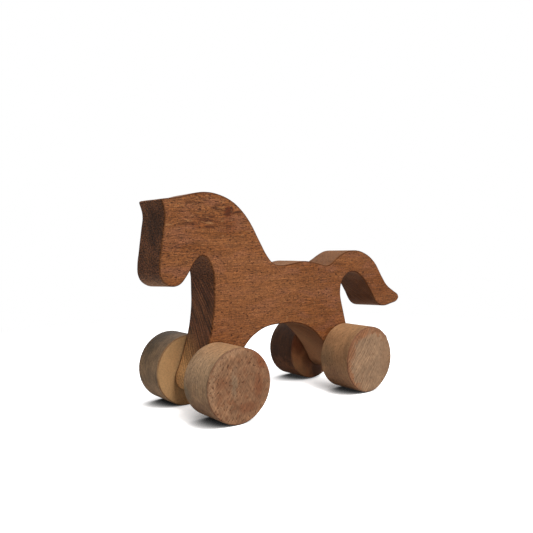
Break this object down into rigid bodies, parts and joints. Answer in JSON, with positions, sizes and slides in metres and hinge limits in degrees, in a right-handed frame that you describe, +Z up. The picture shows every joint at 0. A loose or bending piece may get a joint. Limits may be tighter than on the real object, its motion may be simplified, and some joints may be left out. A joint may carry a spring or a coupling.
{
  "type": "push-along toy horse",
  "caption": "Push-along toy horse sawn from a thick wooden plank, rolling on solid wooden wheels fixed to the ends of dowel axles through its legs.",
  "frame": {"origin": "on the ground under the middle of the toy, halfway between its nose and the tip of its tail", "axes": "+X the way the horse faces, +Y to its left, along the axles, +Z up"},
  "size_m": [0.2081, 0.081, 0.1329],
  "materials": {
    "body_wood": "bare sanded red-brown hardwood with fine dark pores, satin",
    "wheel_wood": "bare sawn tan hardwood, matte",
    "axle_wood": "pale dowel, matte"
  },
  "bodies": {
    "horse": {"horse_body": "body_wood"},
    "front_wheelset": {"front_axle": "axle_wood", "wheel_front_left": "wheel_wood", "wheel_front_right": "wheel_wood"},
    "rear_wheelset": {"rear_axle": "axle_wood", "wheel_rear_left": "wheel_wood", "wheel_rear_right": "wheel_wood"}
  },
  "joints": [
    {"name": "front_axle_spin", "type": "hinge", "parent": "horse", "child": "front_wheelset", "pos_m": [0.069, 0, 0.02198], "axis": [0, 1, 0], "continuous": true},
    {"name": "rear_axle_spin", "type": "hinge", "parent": "horse", "child": "rear_wheelset", "pos_m": [-0.04, 0, 0.02198], "axis": [0, 1, 0], "continuous": true}
  ]
}
